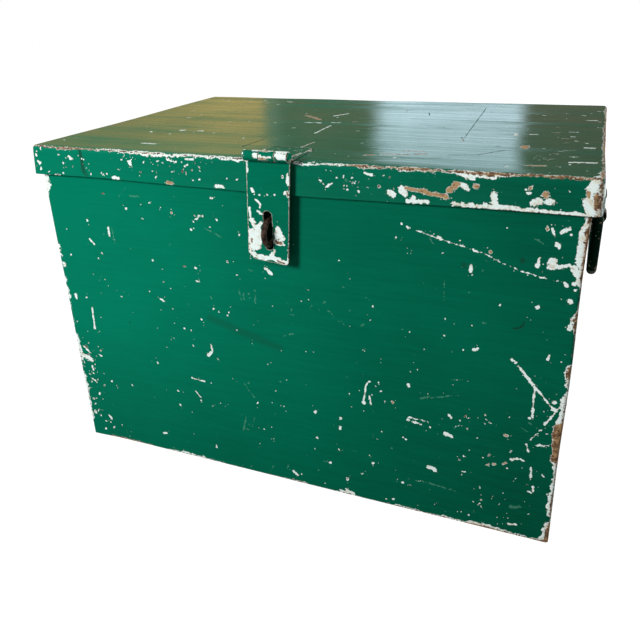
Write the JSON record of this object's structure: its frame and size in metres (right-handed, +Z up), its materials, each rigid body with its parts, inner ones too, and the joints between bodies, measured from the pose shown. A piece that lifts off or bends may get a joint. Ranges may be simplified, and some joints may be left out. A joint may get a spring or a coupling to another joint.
{
  "type": "sheet-steel trunk",
  "caption": "Green enamelled sheet-steel trunk with a shallow hinged lid, a front hasp over a staple and a swinging rod handle on each end.",
  "frame": {"origin": "middle of the base, on the surface that the trunk stands on", "axes": "+X to the right as seen from the front, along the width; +Y to the back, where the hinges are; +Z up. The hasp is on the -Y side."},
  "size_m": [0.4822, 0.3366, 0.3131],
  "materials": {
    "green_enamel": "gloss enamel, chipped to a pale primer and rusty steel",
    "hasp_enamel": "gloss enamel, badly chipped round the slot and the foot",
    "dark_green_rod": "dark green enamel, worn at the grip",
    "blackened_clip": "dark paint over steel",
    "dark_steel": "bare steel, darkened and rubbed"
  },
  "bodies": {
    "trunk": {"back_panel": "green_enamel", "body_wrap": "green_enamel", "bottom_pan": "green_enamel", "handle_clip_left_front": "blackened_clip", "handle_clip_left_rear": "blackened_clip", "handle_clip_right_front": "blackened_clip", "handle_clip_right_rear": "blackened_clip", "handle_rivets_left": "blackened_clip", "handle_rivets_right": "blackened_clip", "hinge_body_leaf_left": "green_enamel", "hinge_body_leaf_right": "green_enamel", "hinge_body_rivets_left": "green_enamel", "hinge_body_rivets_right": "green_enamel", "hinge_pin_left": "dark_steel", "hinge_pin_right": "dark_steel", "seam_rivets_left": "green_enamel", "seam_rivets_right": "green_enamel", "staple": "dark_steel", "staple_backing_plate": "dark_steel", "staple_plate": "hasp_enamel"},
    "lid": {"hasp_leaf": "hasp_enamel", "hasp_leaf_rivets": "hasp_enamel", "hasp_pin": "hasp_enamel", "hinge_lid_leaf_left": "green_enamel", "hinge_lid_leaf_right": "green_enamel", "hinge_lid_rivets_left": "green_enamel", "hinge_lid_rivets_right": "green_enamel", "lid_shell": "green_enamel"},
    "hasp": {"hasp_strap": "hasp_enamel"},
    "handle_right": {"handle_bail_right": "dark_green_rod"},
    "handle_left": {"handle_bail_left": "dark_green_rod"}
  },
  "joints": [
    {"name": "lid_hinge", "type": "hinge", "parent": "trunk", "child": "lid", "pos_m": [0, 0.16056, 0.2775], "axis": [-1, 0, 0], "range_deg": [0, 200]},
    {"name": "hasp_hinge", "type": "hinge", "parent": "lid", "child": "hasp", "pos_m": [0, -0.16476, 0.30906], "axis": [-1, 0, 0], "range_deg": [0, 270]},
    {"name": "handle_right_swing", "type": "hinge", "parent": "trunk", "child": "handle_right", "pos_m": [0.235, 0, 0.245], "axis": [0, -1, 0], "range_deg": [-2.5, 175]},
    {"name": "handle_left_swing", "type": "hinge", "parent": "trunk", "child": "handle_left", "pos_m": [-0.235, 0, 0.245], "axis": [0, 1, 0], "range_deg": [-2.5, 175]}
  ]
}
